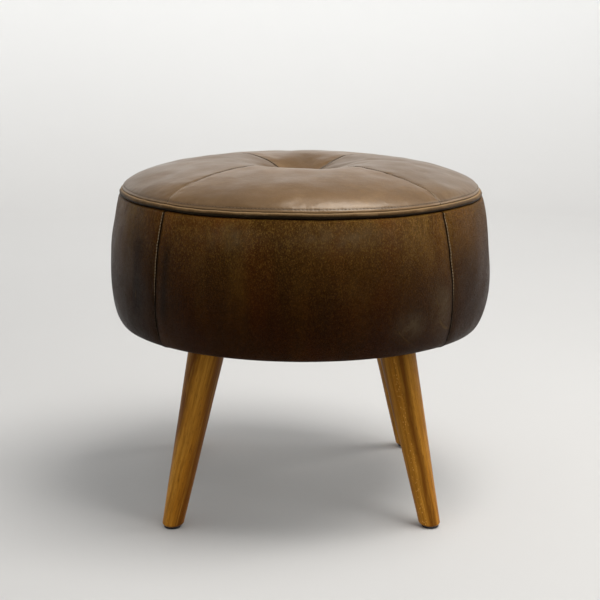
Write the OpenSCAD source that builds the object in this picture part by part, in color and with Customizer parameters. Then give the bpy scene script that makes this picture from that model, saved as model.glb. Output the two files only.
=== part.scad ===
// Round leather footstool: a crowned, button-tufted seat with a piped rim,
// a barrel side, and four splayed, tapered legs that screw into angled plates.
// Millimetres, +Z up. The origin is on the floor, under the centre of the seat,
// and the front is towards -Y. Every leg, panel and plate is set out from the diagonals.

/* [Seat outline] */
// Radius of the widest part of the side
belly_r = 260; // [245:1:275]
// Height of the widest part of the side above the floor
belly_z = 304; // [295:1:320]
// How far the side tucks in from its belly up to the rim
rim_tuck = 14.5; // [8:0.5:18]
// Fullness of the side above its belly, where 2 is a plain parabola
side_power = 2.4; // [2:0.1:3]
// Height of the rim seam
rim_z = 423; // [418:1:430]
// Height of the lowest edge of the side
hem_z = 242; // [240:1:243]
// Radius of the lowest edge of the side
hem_r = 239; // [237:1:241]
// Height of the crest of the top
crest_z = 463.2; // [455:0.2:470]
// Radius of the crest ring around the tufted middle
crest_r = 107; // [95:1:120]
// Squareness of the shoulder between crest and rim
crown_power = 1.7; // [1.5:0.05:2]
// Depth of the tufted middle below the crest
dimple_depth = 32.2; // [20:0.2:36]
// Steepness of the tufted middle
dimple_power = 2.3; // [2:0.1:2.6]

/* [Cover] */
// Thickness of the leather
leather_t = 1.4; // [1:0.1:1.6]
// Thickness of the batting under the leather
batting_t = 4.8; // [3:0.1:6]
// Diameter of the piping around the rim
piping_d = 7.8; // [6:0.2:8]
// Width of the seam allowances behind the piping
seam_w = 9; // [6:0.5:11]
// Diameter of the covered button
button_d = 29; // [24:1:32]

/* [Frame] */
// Radius of the base board and of the deck board
board_r = 222; // [220:1:223]
// Height of the underside of the base board
base_z = 250; // [249:0.5:252]
// Thickness of the base board
base_t = 16; // [15:1:18]
// Height of the underside of the deck board
deck_z = 366; // [350:1:372]
// Thickness of the deck board
deck_t = 12; // [9:1:15]
// Width of the square posts
post_w = 45; // [35:1:50]
// Distance of the posts from the centre
post_ring_r = 184; // [175:1:190]
// Thickness of the wall hoop
hoop_t = 3; // [2:0.5:4]

/* [Legs] */
// Distance of each leg's axis from the centre, at the floor
foot_ring_r = 240; // [225:1:250]
// Splay of each leg from the vertical, in degrees
splay = 15.6; // [10:0.2:18]
// Diameter of a leg at its top
leg_top_d = 49; // [44:1:52]
// Diameter of a leg at its foot
leg_foot_d = 27; // [24:1:32]
// Width of the chamfer around the foot
foot_chamfer = 2.5; // [1:0.5:4]
// Thickness of a glide
glide_t = 3; // [2:0.5:5]
// Diameter of a glide
glide_d = 22; // [18:1:22]
// Diameter of the hanger bolts
bolt_d = 8; // [6:1:10]
// Pitch of the hanger bolts' machine thread
bolt_pitch = 1.25; // [1:0.25:1.5]
// Whole turns that unscrew a leg
leg_turns = 9; // [8:1:9]

/* [Hidden] */
$fn = 96;

// Directions, as angles from +X seen from above
REAR_RIGHT = 45;
REAR_LEFT = 135;
FRONT_LEFT = 225;
FRONT_RIGHT = 315;
POST_ANGLES = [0 : 60 : 300];
LEG_ANGLES = [REAR_RIGHT, REAR_LEFT, FRONT_LEFT, FRONT_RIGHT];

gap = 0.2;         // between layers that lie on each other
seam_gap = 0.06;   // half the angle left open between neighbouring panels
eps = 0.01;        // how far a cut runs past a face
well_r = 7;        // radius of the hole that the twine passes through
foam_r = board_r + hoop_t + 0.4;
rim_r = belly_r - rim_tuck - 1.5;
piping_r = piping_d / 2;
piping_ring_r = rim_r + 2 - piping_r;
fold_t = piping_r + gap;       // leather folds around the piping at this radius
turn_in_r = board_r - 14;      // the cover's inner edge under the base board
turn_in_z = base_z - leather_t - 0.05;
dust_t = 0.8;
dust_r = board_r - 6;
staple_ring_r = (turn_in_r + dust_r) / 2;
staple_count = 36;

plate_t = 2.5;
plate_w = 60;
plate_z = base_z - dust_t - 0.15 - plate_t;         // underside of the plates
plate_hole_pitch = 44;
engaged = leg_turns * bolt_pitch;                   // thread held in plate and boss
boss_z = plate_z + plate_t - engaged * cos(splay);  // centre of the boss's end face
leg_gap = 0.3;                                      // between a leg's top and its boss
plate_ring_r = foot_ring_r - boss_z * tan(splay);
axis_length = boss_z / cos(splay);                  // from the floor to the boss, along a leg

button_z = crest_z - dimple_depth;                  // top of the leather under the button

// ---- Outline of the seat ----

// Height of the top at radius r
function top_height(r) = r > crest_r
    ? rim_z + (crest_z - rim_z) * sqrt(1 - pow((r - crest_r) / (rim_r - crest_r), crown_power))
    : crest_z - dimple_depth * pow((crest_r - max(r, button_d / 2)) / (crest_r - button_d / 2), dimple_power);

// Radius of the side at height z, above the belly
function side_radius(z) = belly_r - rim_tuck * pow((z - belly_z) / (rim_z - belly_z), side_power);

// Points of an elliptical arc
function arc(centre, rx, ry, from, to, steps) =
    [for (i = [0 : steps]) let (a = from + (to - from) * i / steps) centre + [rx * cos(a), ry * sin(a)]];

function reversed(path) = [for (i = [len(path) - 1 : -1 : 0]) path[i]];

// A path moved by t towards its right, which is the inner side of every path here
function inset(path, t) = [for (i = [0 : len(path) - 1])
    let (d = path[min(i + 1, len(path) - 1)] - path[max(i - 1, 0)]) path[i] + t * [d.y, -d.x] / norm(d)];

// The visible top, from the twine's hole out to the rim
top_path = concat([[well_r, button_z], [button_d / 2 - 2, button_z]],
    [for (i = [8 : -1 : 0]) let (r = crest_r - (crest_r - button_d / 2) * i / 8) [r, top_height(r)]],
    [for (i = [1 : 9]) let (r = crest_r + (rim_r - crest_r) * sin(9 * i)) [r, top_height(r)]]);

// The visible side, from just under the rim down to its lowest edge, and on under the frame
side_path = concat(
    [for (i = [0 : 8]) let (z = rim_z - 7 - (rim_z - 7 - belly_z) * i / 9) [side_radius(z), z]],
    arc([hem_r, belly_z], belly_r - hem_r, belly_z - hem_z, 0, -90, 9));
hem_path = arc([hem_r, turn_in_z], hem_r - board_r, turn_in_z - hem_z, -105, -180, 4);

// Leather folded around the piping, as an arc about its centre
function fold(r, from, to) = arc([piping_ring_r, rim_z], r, r, from, to, 4);
seam_inner_r = piping_ring_r - piping_r - seam_w;
seam_half = 0.9;               // half the thickness of the piping's own seam allowance

// The space between two insets of a path
function layer(path, outer, inner) = concat(inset(path, outer), reversed(inset(path, inner)));

// ---- Shared shapes ----

module sector(middle) {
    rotate([0, 0, middle - 45 + seam_gap]) rotate_extrude(angle = 90 - 2 * seam_gap) children();
}

// Places its children in a leg's own plane: the leg leans towards the centre as it rises
module at_leg(angle) {
    rotate([0, 0, angle]) children();
}

// Places its children on a leg's axis, with +Z up along it from the floor
module on_leg_axis(angle) {
    at_leg(angle) translate([foot_ring_r, 0, 0]) rotate([0, -splay, 0]) children();
}

module wood_screw(head_r, shank_r, length) {
    cylinder(h = 2.2, r1 = head_r, r2 = shank_r);
    translate([0, 0, 2.2 - eps]) cylinder(h = length - 5, r = shank_r);
    translate([0, 0, length - 2.8 - eps]) cylinder(h = 2.8, r1 = shank_r, r2 = 0.3);
}

module staple(z, crown, leg) {
    wire = 0.7;
    translate([-crown / 2, -wire / 2, z]) cube([crown, wire, wire]);
    for (side = [-1, 1])
        translate([side * (crown - wire) / 2 - wire / 2, -wire / 2, z]) cube([wire, wire, leg]);
}

module ring_of_staples(z, offset_angle) {
    for (i = [0 : staple_count - 1]) rotate([0, 0, offset_angle + i * 360 / staple_count])
        translate([staple_ring_r, 0, 0]) rotate([0, 0, 90]) staple(z, 10, 8);
}

module at_post_screws() {
    for (a = POST_ANGLES) rotate([0, 0, a]) translate([post_ring_r, 0, 0]) children();
}

module at_plate_screws(angle) {
    at_leg(angle) for (x = [-1, 1], y = [-1, 1])
        translate([plate_ring_r + x * plate_hole_pitch / 2, y * plate_hole_pitch / 2, plate_z]) children();
}

// The screws that hold the boards to the posts, grown by the pilot's clearance
module post_screws(grow) {
    at_post_screws() {
        translate([0, 0, base_z]) wood_screw(4.2 + grow, 2 + grow, 45);
        translate([0, 0, deck_z + deck_t]) mirror([0, 0, 1]) wood_screw(4.2 + grow, 2 + grow, 40);
    }
}

module plate_screw_holes(grow) {
    for (a = LEG_ANGLES) at_plate_screws(a) wood_screw(4.1 + grow, 2.1 + grow, 15);
}

// ---- Frame ----

module base_board() {
    color("#c9a877") difference() {
        translate([0, 0, base_z]) cylinder(h = base_t, r = board_r);
        post_screws(0.1);
        plate_screw_holes(0.1);
        for (a = LEG_ANGLES) on_leg_axis(a)
            translate([0, 0, axis_length]) cylinder(h = 45, r = bolt_d / 2 + 2.5);
    }
}

module deck_board() {
    color("#c9a877") difference() {
        translate([0, 0, deck_z]) cylinder(h = deck_t, r = board_r);
        translate([0, 0, deck_z - 1]) cylinder(h = deck_t + 2, r = well_r);
        post_screws(0.1);
    }
}

module post(angle) {
    color("#dcc08e") difference() {
        rotate([0, 0, angle]) translate([post_ring_r - post_w / 2, -post_w / 2, base_z + base_t])
            cube([post_w, post_w, deck_z - base_z - base_t]);
        post_screws(0.1);
    }
}

module wall_hoop() {
    color("#8a6a48") translate([0, 0, base_z]) difference() {
        cylinder(h = deck_z + deck_t - base_z, r = board_r + 0.2 + hoop_t);
        translate([0, 0, -1]) cylinder(h = deck_z + deck_t - base_z + 2, r = board_r + 0.2);
    }
}

// Brads that hold the hoop to the edges of both boards
module hoop_nails() {
    color("#9a9a98") for (z = [base_z + base_t / 2, deck_z + deck_t / 2], a = [15 : 30 : 345])
        rotate([0, 0, a]) translate([board_r - 14, 0, z]) rotate([0, 90, 0]) {
            cylinder(h = 14 + hoop_t, r = 0.8);
            translate([0, 0, 14 + hoop_t - 0.6]) cylinder(h = 0.7, r = 2);
        }
}

module frame_screws() {
    color("#b8a35a") post_screws(0);
}

// ---- Stuffing ----

module side_foam() {
    color("#e8e2c8") rotate_extrude() polygon(concat(
        inset(side_path, leather_t + batting_t + 2 * gap), [[foam_r, base_z], [foam_r, rim_z - 8]]));
}

module side_batting() {
    color("#f4f4ef") rotate_extrude() polygon(layer(side_path, leather_t + gap, leather_t + batting_t));
}

module top_foam() {
    r = foam_r - 0.3;
    deck_top = deck_z + deck_t + 0.05;
    crown = [for (p = inset(top_path, leather_t + batting_t + 2 * gap)) if (p.x < r) p];
    color("#e8e2c8") rotate_extrude()
        polygon(concat(crown, [[r, crown[len(crown) - 1].y - 4], [r, deck_top], [well_r, deck_top]]));
}

// It rounds off the foam's edge and stops short of the fold at the rim
module top_batting() {
    outer = [for (p = inset(top_path, leather_t + gap)) if (p.x < piping_ring_r - piping_r) p];
    inner = [for (p = inset(top_path, leather_t + batting_t)) if (p.x < foam_r) p];
    edge_z = rim_z + seam_half + leather_t + 1;
    color("#f4f4ef") rotate_extrude() polygon(concat(outer, [[piping_ring_r - piping_r - 3, edge_z],
        [foam_r, edge_z], [foam_r, inner[len(inner) - 1].y - 3]], reversed(inner)));
}

// ---- Cover ----

// A quarter of the top, with its seam allowance turned in behind the piping
module top_panel(middle) {
    color("#6b5440") sector(middle) polygon(concat(
        top_path, fold(fold_t, 75, 160),
        [[seam_inner_r, rim_z + seam_half], [seam_inner_r, rim_z + seam_half + leather_t]],
        reversed(fold(fold_t + leather_t, 112, 146)), reversed(inset(top_path, leather_t))));
}

// A quarter of the side, folded under the base board and stapled there
module side_panel(middle) {
    outer = concat(side_path, hem_path);
    color("#4c3a29") sector(middle) polygon(concat(
        outer, [[turn_in_r, turn_in_z], [turn_in_r, turn_in_z + leather_t]],
        reversed(inset(outer, leather_t)), fold(fold_t + leather_t, -70, -146),
        [[seam_inner_r, rim_z - seam_half - leather_t], [seam_inner_r, rim_z - seam_half]],
        fold(fold_t, -160, -62)));
}

module piping_cord() {
    color("#e6dfd0") rotate_extrude() translate([piping_ring_r, rim_z]) circle(r = piping_r - leather_t - 0.05);
}

// The strip wrapped around the cord, with its two edges together as a seam allowance
module piping_cover() {
    color("#54402e") rotate_extrude() difference() {
        union() {
            translate([piping_ring_r, rim_z]) circle(r = piping_r);
            translate([seam_inner_r, rim_z - seam_half + 0.1])
                square([piping_ring_r - seam_inner_r, 2 * seam_half - 0.2]);
        }
        translate([piping_ring_r, rim_z]) circle(r = piping_r - leather_t + 0.05);
    }
}

// ---- Button ----

// Cap outline: a shallow dome of radius r and height h on a rim of height lip
function dome(r, h, lip) = concat([[r, 0]], arc([0, lip], r, h, 0, 90, 8));

button_r = button_d / 2;
shell_r = button_r - 1.3;
eye_z = button_z - 1.5;        // centre of the wire eye

module button_shell() {
    color("#a8a8a6") translate([0, 0, button_z + 0.8]) rotate_extrude()
        polygon(concat(dome(shell_r, 3.4, 1), reversed(dome(shell_r - 0.7, 2.7, 1))));
}

module button_cover() {
    color("#5f4936") translate([0, 0, button_z + 0.1]) rotate_extrude()
        polygon(concat(dome(button_r, 4.8, 1.6), reversed(dome(shell_r + 0.1, 3.6, 1.7))));
}

// A disc pressed into the shell, with a wire eye under it for the twine
module button_eye() {
    color("#b4b4b0") {
        translate([0, 0, button_z + 0.9]) cylinder(h = 0.9, r = shell_r - 0.9);
        translate([0, 0, eye_z]) rotate([90, 0, 0])
            rotate_extrude() translate([2.2, 0]) circle(r = 0.6, $fn = 24);
    }
}

toggle_r = 4;
twine_r = 0.8;
twine_bend_r = toggle_r + twine_r + 0.05;
toggle_z = deck_z - toggle_r - 0.1;
twine_top_z = eye_z - twine_bend_r;   // centre of the bend that runs through the eye

// One loop: through the eye, down through the deck, and around the toggle
module tufting_twine() {
    color("#d8cdb4") {
        for (side = [-1, 1]) translate([0, side * twine_bend_r, toggle_z])
            cylinder(h = twine_top_z - toggle_z, r = twine_r, $fn = 24);
        translate([0, 0, twine_top_z]) rotate([90, 0, 90])
            rotate_extrude(angle = 180) translate([twine_bend_r, 0]) circle(r = twine_r, $fn = 24);
        translate([0, 0, toggle_z]) rotate([-90, 0, 90])
            rotate_extrude(angle = 180) translate([twine_bend_r, 0]) circle(r = twine_r, $fn = 24);
    }
}

// A dowel that bears on the underside of the deck, across its hole
module twine_toggle() {
    color("#caa26a") translate([-22, 0, toggle_z]) rotate([0, 90, 0]) cylinder(h = 44, r = toggle_r);
}

// ---- Underside ----

module cover_staples() {
    color("#b0b0ae") ring_of_staples(turn_in_z - 0.7, 0);
}

// Cloth over the underside, stepped down over the cover's turned-in edge
module dust_cover() {
    step = base_z - turn_in_z + 0.8;
    color("#232323") difference() {
        rotate_extrude() polygon([
            [0, base_z - 0.05], [turn_in_r - 1, base_z - 0.05], [turn_in_r - 0.5, base_z - step],
            [dust_r, base_z - step], [dust_r, base_z - step - dust_t],
            [turn_in_r - 1.5, base_z - step - dust_t], [turn_in_r - 2, base_z - 0.05 - dust_t],
            [0, base_z - 0.05 - dust_t]]);
        plate_screw_holes(0.3);
        for (a = LEG_ANGLES) on_leg_axis(a)
            translate([0, 0, axis_length]) cylinder(h = 45, r = bolt_d / 2 + 2.5);
    }
}

module dust_cover_staples() {
    color("#b0b0ae") ring_of_staples(turn_in_z - 0.75 - dust_t - 0.75, 180 / staple_count);
}

// ---- Legs ----

// A pressed plate with a tilted, threaded boss, square to the leg
module leg_plate(angle) {
    color("#8f9192") difference() {
        union() {
            at_leg(angle) translate([plate_ring_r - plate_w / 2, -plate_w / 2, plate_z])
                cube([plate_w, plate_w, plate_t]);
            intersection() {
                on_leg_axis(angle) translate([0, 0, axis_length]) cylinder(h = 30, r = 13);
                cylinder(h = plate_z + 1, r = board_r);
            }
        }
        on_leg_axis(angle) translate([0, 0, axis_length - 5]) cylinder(h = 40, r = bolt_d / 2 + 0.05);
        at_plate_screws(angle) translate([0, 0, -eps]) cylinder(h = 2.2, r1 = 4.4, r2 = 2.4);
        at_plate_screws(angle) translate([0, 0, 1]) cylinder(h = 3, r = 2.4);
    }
}

module plate_screws() {
    color("#c0b070") for (a = LEG_ANGLES) at_plate_screws(a) wood_screw(4.1, 2.1, 15);
}

leg_length = axis_length - leg_gap;
screw_depth = 32;

// A turned taper, cut level at the foot, with a drilled top and a chamfered foot
module leg(angle) {
    flare = 300;
    color("#a8743f") difference() {
        intersection() {
            on_leg_axis(angle) union() {
                translate([0, 0, -leg_foot_d / 2])
                    cylinder(h = leg_length + leg_foot_d / 2 - 1.5,
                             r1 = leg_foot_d / 2 - (leg_top_d - leg_foot_d) / 2 * leg_foot_d / 2 / leg_length,
                             r2 = leg_top_d / 2 - (leg_top_d - leg_foot_d) / 2 * 1.5 / leg_length);
                translate([0, 0, leg_length - 1.5]) cylinder(h = 1.5,
                    r1 = leg_top_d / 2 - (leg_top_d - leg_foot_d) / 2 * 1.5 / leg_length,
                    r2 = leg_top_d / 2 - 1.5);
            }
            at_leg(angle) translate([foot_ring_r - glide_t * tan(splay), 0, glide_t])
                cylinder(h = flare, r1 = leg_foot_d / 2 - foot_chamfer,
                         r2 = leg_foot_d / 2 - foot_chamfer + flare);
        }
        on_leg_axis(angle) translate([0, 0, leg_length - screw_depth - 1])
            cylinder(h = screw_depth + 2, r = bolt_d / 2 - 0.2);
        glide_nail_axis(angle) translate([0, 0, glide_t - 1]) cylinder(h = 17, r = 1.25);
    }
}

// A steel stud: wood thread in the leg below, machine thread in the plate above
module hanger_bolt(angle) {
    color("#b9b9b6") on_leg_axis(angle) {
        translate([0, 0, leg_length - screw_depth + 4]) cylinder(h = screw_depth - 4, r = bolt_d / 2 - 0.25);
        translate([0, 0, leg_length - screw_depth]) cylinder(h = 4.01, r1 = 0.8, r2 = bolt_d / 2 - 0.25);
        translate([0, 0, leg_length]) cylinder(h = leg_gap + engaged + 4, r = bolt_d / 2);
        translate([0, 0, leg_length + leg_gap + engaged + 4 - eps])
            cylinder(h = 1, r1 = bolt_d / 2, r2 = bolt_d / 2 - 1);
    }
}

module glide_nail_axis(angle) {
    at_leg(angle) translate([foot_ring_r - glide_t / 2 * tan(splay), 0, 0]) children();
}

// A disc that lies flat on the floor, with a recess for its nail's head
module glide(angle) {
    color("#1d1d1e") glide_nail_axis(angle) difference() {
        union() {
            cylinder(h = 0.8, r1 = glide_d / 2 - 0.8, r2 = glide_d / 2);
            translate([0, 0, 0.8 - eps]) cylinder(h = glide_t - 0.8 + eps, r = glide_d / 2);
        }
        translate([0, 0, -1]) cylinder(h = 2.5, r = 3);
        cylinder(h = glide_t + 1, r = 1.25);
    }
}

module glide_nail(angle) {
    color("#a5a5a2") glide_nail_axis(angle) {
        translate([0, 0, 0.5]) cylinder(h = 1, r = 2.7);
        translate([0, 0, 1]) cylinder(h = 16, r = 1.2);
    }
}

base_board();
deck_board();
wall_hoop();
hoop_nails();
frame_screws();
post(0);  // post_1
post(60);  // post_2
post(120);  // post_3
post(180);  // post_4
post(240);  // post_5
post(300);  // post_6
side_foam();
side_batting();
top_foam();
top_batting();
side_panel(270);  // side_panel_front
side_panel(0);  // side_panel_right
side_panel(90);  // side_panel_back
side_panel(180);  // side_panel_left
top_panel(270);  // top_panel_front
top_panel(0);  // top_panel_right
top_panel(90);  // top_panel_back
top_panel(180);  // top_panel_left
piping_cord();
piping_cover();
button_shell();
button_cover();
button_eye();
tufting_twine();
twine_toggle();
cover_staples();
dust_cover();
dust_cover_staples();
leg_plate(FRONT_LEFT);  // leg_plate_front_left
leg_plate(FRONT_RIGHT);  // leg_plate_front_right
leg_plate(REAR_LEFT);  // leg_plate_rear_left
leg_plate(REAR_RIGHT);  // leg_plate_rear_right
plate_screws();
leg(FRONT_LEFT);  // leg_front_left
leg(FRONT_RIGHT);  // leg_front_right
leg(REAR_LEFT);  // leg_rear_left
leg(REAR_RIGHT);  // leg_rear_right
hanger_bolt(FRONT_LEFT);  // hanger_bolt_front_left
hanger_bolt(FRONT_RIGHT);  // hanger_bolt_front_right
hanger_bolt(REAR_LEFT);  // hanger_bolt_rear_left
hanger_bolt(REAR_RIGHT);  // hanger_bolt_rear_right
glide(FRONT_LEFT);  // glide_front_left
glide(FRONT_RIGHT);  // glide_front_right
glide(REAR_LEFT);  // glide_rear_left
glide(REAR_RIGHT);  // glide_rear_right
glide_nail(FRONT_LEFT);  // glide_nail_front_left
glide_nail(FRONT_RIGHT);  // glide_nail_front_right
glide_nail(REAR_LEFT);  // glide_nail_rear_left
glide_nail(REAR_RIGHT);  // glide_nail_rear_right
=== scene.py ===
"""Looks of the round leather footstool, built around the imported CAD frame.

Everything is in metres, with +Z up and the front towards -Y.
"""

import math
import bpy
import numpy as np
from mathutils import Matrix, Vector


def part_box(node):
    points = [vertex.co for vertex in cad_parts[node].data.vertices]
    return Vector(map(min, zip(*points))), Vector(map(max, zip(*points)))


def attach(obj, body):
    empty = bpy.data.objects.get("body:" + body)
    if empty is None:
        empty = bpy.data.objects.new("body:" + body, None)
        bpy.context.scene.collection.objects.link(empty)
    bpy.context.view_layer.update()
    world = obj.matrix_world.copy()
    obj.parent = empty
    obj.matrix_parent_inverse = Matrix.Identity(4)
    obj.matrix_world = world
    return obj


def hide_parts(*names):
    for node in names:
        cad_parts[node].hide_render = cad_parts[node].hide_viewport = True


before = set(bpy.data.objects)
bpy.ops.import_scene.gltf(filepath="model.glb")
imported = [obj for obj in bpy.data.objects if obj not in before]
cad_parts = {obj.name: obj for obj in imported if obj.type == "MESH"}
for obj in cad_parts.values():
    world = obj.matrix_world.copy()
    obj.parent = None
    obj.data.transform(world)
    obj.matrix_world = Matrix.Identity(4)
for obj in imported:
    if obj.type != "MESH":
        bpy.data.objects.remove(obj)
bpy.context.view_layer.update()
MM = 0.001

# ---- Sizes that follow the frame ----
PANELS = {"right": 0, "back": 90, "left": 180, "front": 270}
CORNERS = {"rear_right": 45, "rear_left": 135, "front_left": 225, "front_right": 315}
BELLY_R = round(-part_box("side_panel_front")[0].y, 4)
HEM_Z = round(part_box("side_panel_front")[0].z, 4)
CREST_Z = round(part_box("top_panel_front")[1].z, 4)
PIPE_LOW, PIPE_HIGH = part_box("piping_cover")
PIPING_R = round((PIPE_HIGH.z - PIPE_LOW.z) / 2, 4)
RIM_Z = round((PIPE_HIGH.z + PIPE_LOW.z) / 2, 4)
PIPING_RING = round(PIPE_HIGH.x, 4) - PIPING_R
BUTTON_R = round(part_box("button_cover")[1].x, 4)
BUTTON_Z = round(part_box("button_cover")[0].z, 4) - 0.1 * MM
BASE_Z = round(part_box("base_board")[0].z, 4)
BOARD_R = round(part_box("base_board")[1].x, 3)
DECK_TOP = round(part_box("deck_board")[1].z, 4)
PLATE_Z = round(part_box("leg_plate_front_left")[0].z, 5)

# ---- Sizes repeated from the CAD source ----
BELLY_Z = 304 * MM
RIM_TUCK = 14.5 * MM
SIDE_POWER = 2.4
RIM_R = BELLY_R - RIM_TUCK - 1.5 * MM
CREST_R = 107 * MM
CROWN_POWER = 1.7
DIMPLE_DEPTH = CREST_Z - BUTTON_Z
DIMPLE_POWER = 2.3
HEM_R = 239 * MM
TURN_IN_R = 208 * MM
TURN_IN_Z = BASE_Z - 1.45 * MM
ALLOWANCE_R = PIPING_RING - PIPING_R - 9 * MM
LEATHER = 1.4 * MM
BATTING = 4.8 * MM
WELL_R = 7 * MM
FOAM_R = BOARD_R + 3.4 * MM
FOOT_RING = 240 * MM
SPLAY = math.radians(15.6)
LEG_TOP_R = 24.5 * MM
LEG_FOOT_R = 13.5 * MM
LEG_LENGTH = 247.02 * MM
GLIDE_R = 11 * MM
GLIDE_T = 3 * MM
GLIDE_RING = FOOT_RING - GLIDE_T / 2 * math.tan(SPLAY)
NAIL_R = 1.25 * MM
PLATE_RING = 173.49 * MM
PLATE_HOLE = 22 * MM

# ---- Small helpers for meshes ----


def piece(name, verts, faces, looks, sharp=None, body="seat", replaces=(), attributes=None):
    """A smooth mesh piece that rides on a body and stands for the CAD nodes named in replaces."""
    mesh = bpy.data.meshes.new(name)
    mesh.from_pydata(np.asarray(verts, float).reshape(-1, 3).tolist(), [], [list(f) for f in faces])
    mesh.polygons.foreach_set("use_smooth", [True] * len(mesh.polygons))
    if sharp is not None:
        mesh.set_sharp_from_angle(angle=math.radians(sharp))
    for key, values in (attributes or {}).items():
        values = np.asarray(values, float)
        kind, field = ("FLOAT_VECTOR", "vector") if values.ndim == 2 else ("FLOAT", "value")
        mesh.attributes.new(key, kind, "POINT").data.foreach_set(field, values.ravel())
    mesh.materials.append(looks)
    made = bpy.data.objects.new(name, mesh)
    bpy.context.scene.collection.objects.link(made)
    if body:
        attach(made, body)
    if replaces:
        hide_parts(*replaces)
    return made


def polar(r, theta, z=0.0):
    """Points at radius r, angle theta and height z."""
    return np.stack(np.broadcast_arrays(r * np.cos(theta), r * np.sin(theta), z), -1)


def spun(points, angle):
    """The points turned about Z."""
    x, y, z = np.moveaxis(points, -1, 0)
    return np.stack([x * np.cos(angle) - y * np.sin(angle), x * np.sin(angle) + y * np.cos(angle), z], -1)


def unit(vectors):
    """The vectors, each scaled to length one."""
    return vectors / np.linalg.norm(vectors, axis=-1, keepdims=True)


def distances(path):
    """The distance along a path at each of its points."""
    return np.append(0, np.cumsum(np.linalg.norm(np.diff(path, axis=0), axis=1)))


def read_path(at, along, path):
    """Points of a path, or of a row of a grid, at the given places along it."""
    return np.stack([np.interp(at, along, column) for column in path.T], -1)


def ramp(value, length):
    """Rises from 0 to 1 as the value goes from 0 to length."""
    return np.clip(value / length, 0, 1)


def arc(centre, radius_r, radius_z, start, end, count):
    """Points of an elliptical arc in the plane of radius and height, with angles in degrees."""
    a = np.radians(np.linspace(start, end, count))
    return np.column_stack([centre[0] + radius_r * np.cos(a), centre[1] + radius_z * np.sin(a)])


def outline(*stretches):
    """Joins stretches of an outline and drops points that repeat."""
    path = np.concatenate([np.reshape(s, (-1, 2)) for s in stretches])
    keep = np.append(True, np.linalg.norm(np.diff(path, axis=0), axis=1) > 1e-6)
    return path[keep]


def grid_faces(rows, columns, start=0, wrap=False, flip=False):
    """Quads between the points of a grid that is stored row by row."""
    i, j = np.meshgrid(np.arange(rows - 1), np.arange(columns if wrap else columns - 1), indexing="ij")
    k = (j + 1) % columns
    quads = np.stack([i * columns + j, i * columns + k, (i + 1) * columns + k, (i + 1) * columns + j], -1)
    quads = quads.reshape(-1, 4) + start
    return quads[:, ::-1] if flip else quads


def capped_faces(rows, columns, start):
    """Faces of a tube made of rings of points, with a flat cap at each end."""
    low = list(range(start, start + columns))
    high = [index + (rows - 1) * columns for index in low]
    return grid_faces(rows, columns, start=start, wrap=True).tolist() + [low[::-1], high]


def ripple(points, wavelength, seed, count=14):
    """Smooth seeded noise of about unit size: cosine waves of one length in random directions."""
    rng = np.random.default_rng(seed)
    ways = unit(rng.normal(size=(count, 3)))
    stretch = rng.uniform(0.7, 1.4, count)
    phases = rng.uniform(0, 2 * math.pi, count)
    waves = np.cos(points @ (ways * stretch[:, None]).T * (2 * math.pi / wavelength) + phases)
    return waves.sum(-1) * math.sqrt(2 / count)


def bell(distance, width):
    """A soft bump of height 1 that fades out over width."""
    return np.exp(-((distance / width) ** 2))


class Skin:
    """A surface of revolution about Z, from its outline in the plane of radius and height."""

    def __init__(self, path):
        self.r, self.z = path.T
        step = unit(np.gradient(path, axis=0))
        self.normal_r, self.normal_z = -step[:, 1], step[:, 0]
        self.along = distances(path)

    def points(self, theta, out=0.0, lift=0.0):
        """The grid of points at the angles theta, moved out along the normals and lifted by lift."""
        r = self.r[:, None] + out * self.normal_r[:, None]
        z = self.z[:, None] + out * self.normal_z[:, None] + lift
        return polar(r, theta, z)


def revolve(path, count, bend=Skin.points, closed=True, flip=False):
    """Vertices and faces of a turned shape. Points of the outline on the axis become one vertex."""
    theta = np.arange(count) * 2 * math.pi / count
    skin = Skin(path)
    on_axis = path[:, 0] < 1e-7
    verts, faces, first = [], [], []
    for ring, pointed in zip(bend(skin, theta), on_axis):
        first.append(len(verts))
        verts.extend([ring.mean(0)] if pointed else list(ring))
    for low in range(len(path) if closed else len(path) - 1):
        high = (low + 1) % len(path)
        for j in range(count):
            k = (j + 1) % count
            a = [first[low]] if on_axis[low] else [first[low] + j, first[low] + k]
            b = [first[high]] if on_axis[high] else [first[high] + k, first[high] + j]
            if len(a) + len(b) > 2:
                faces.append((a + b)[::-1])
    return np.array(verts), [face[::-1] for face in faces] if flip else faces


# ---- Small helpers for materials ----


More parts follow.
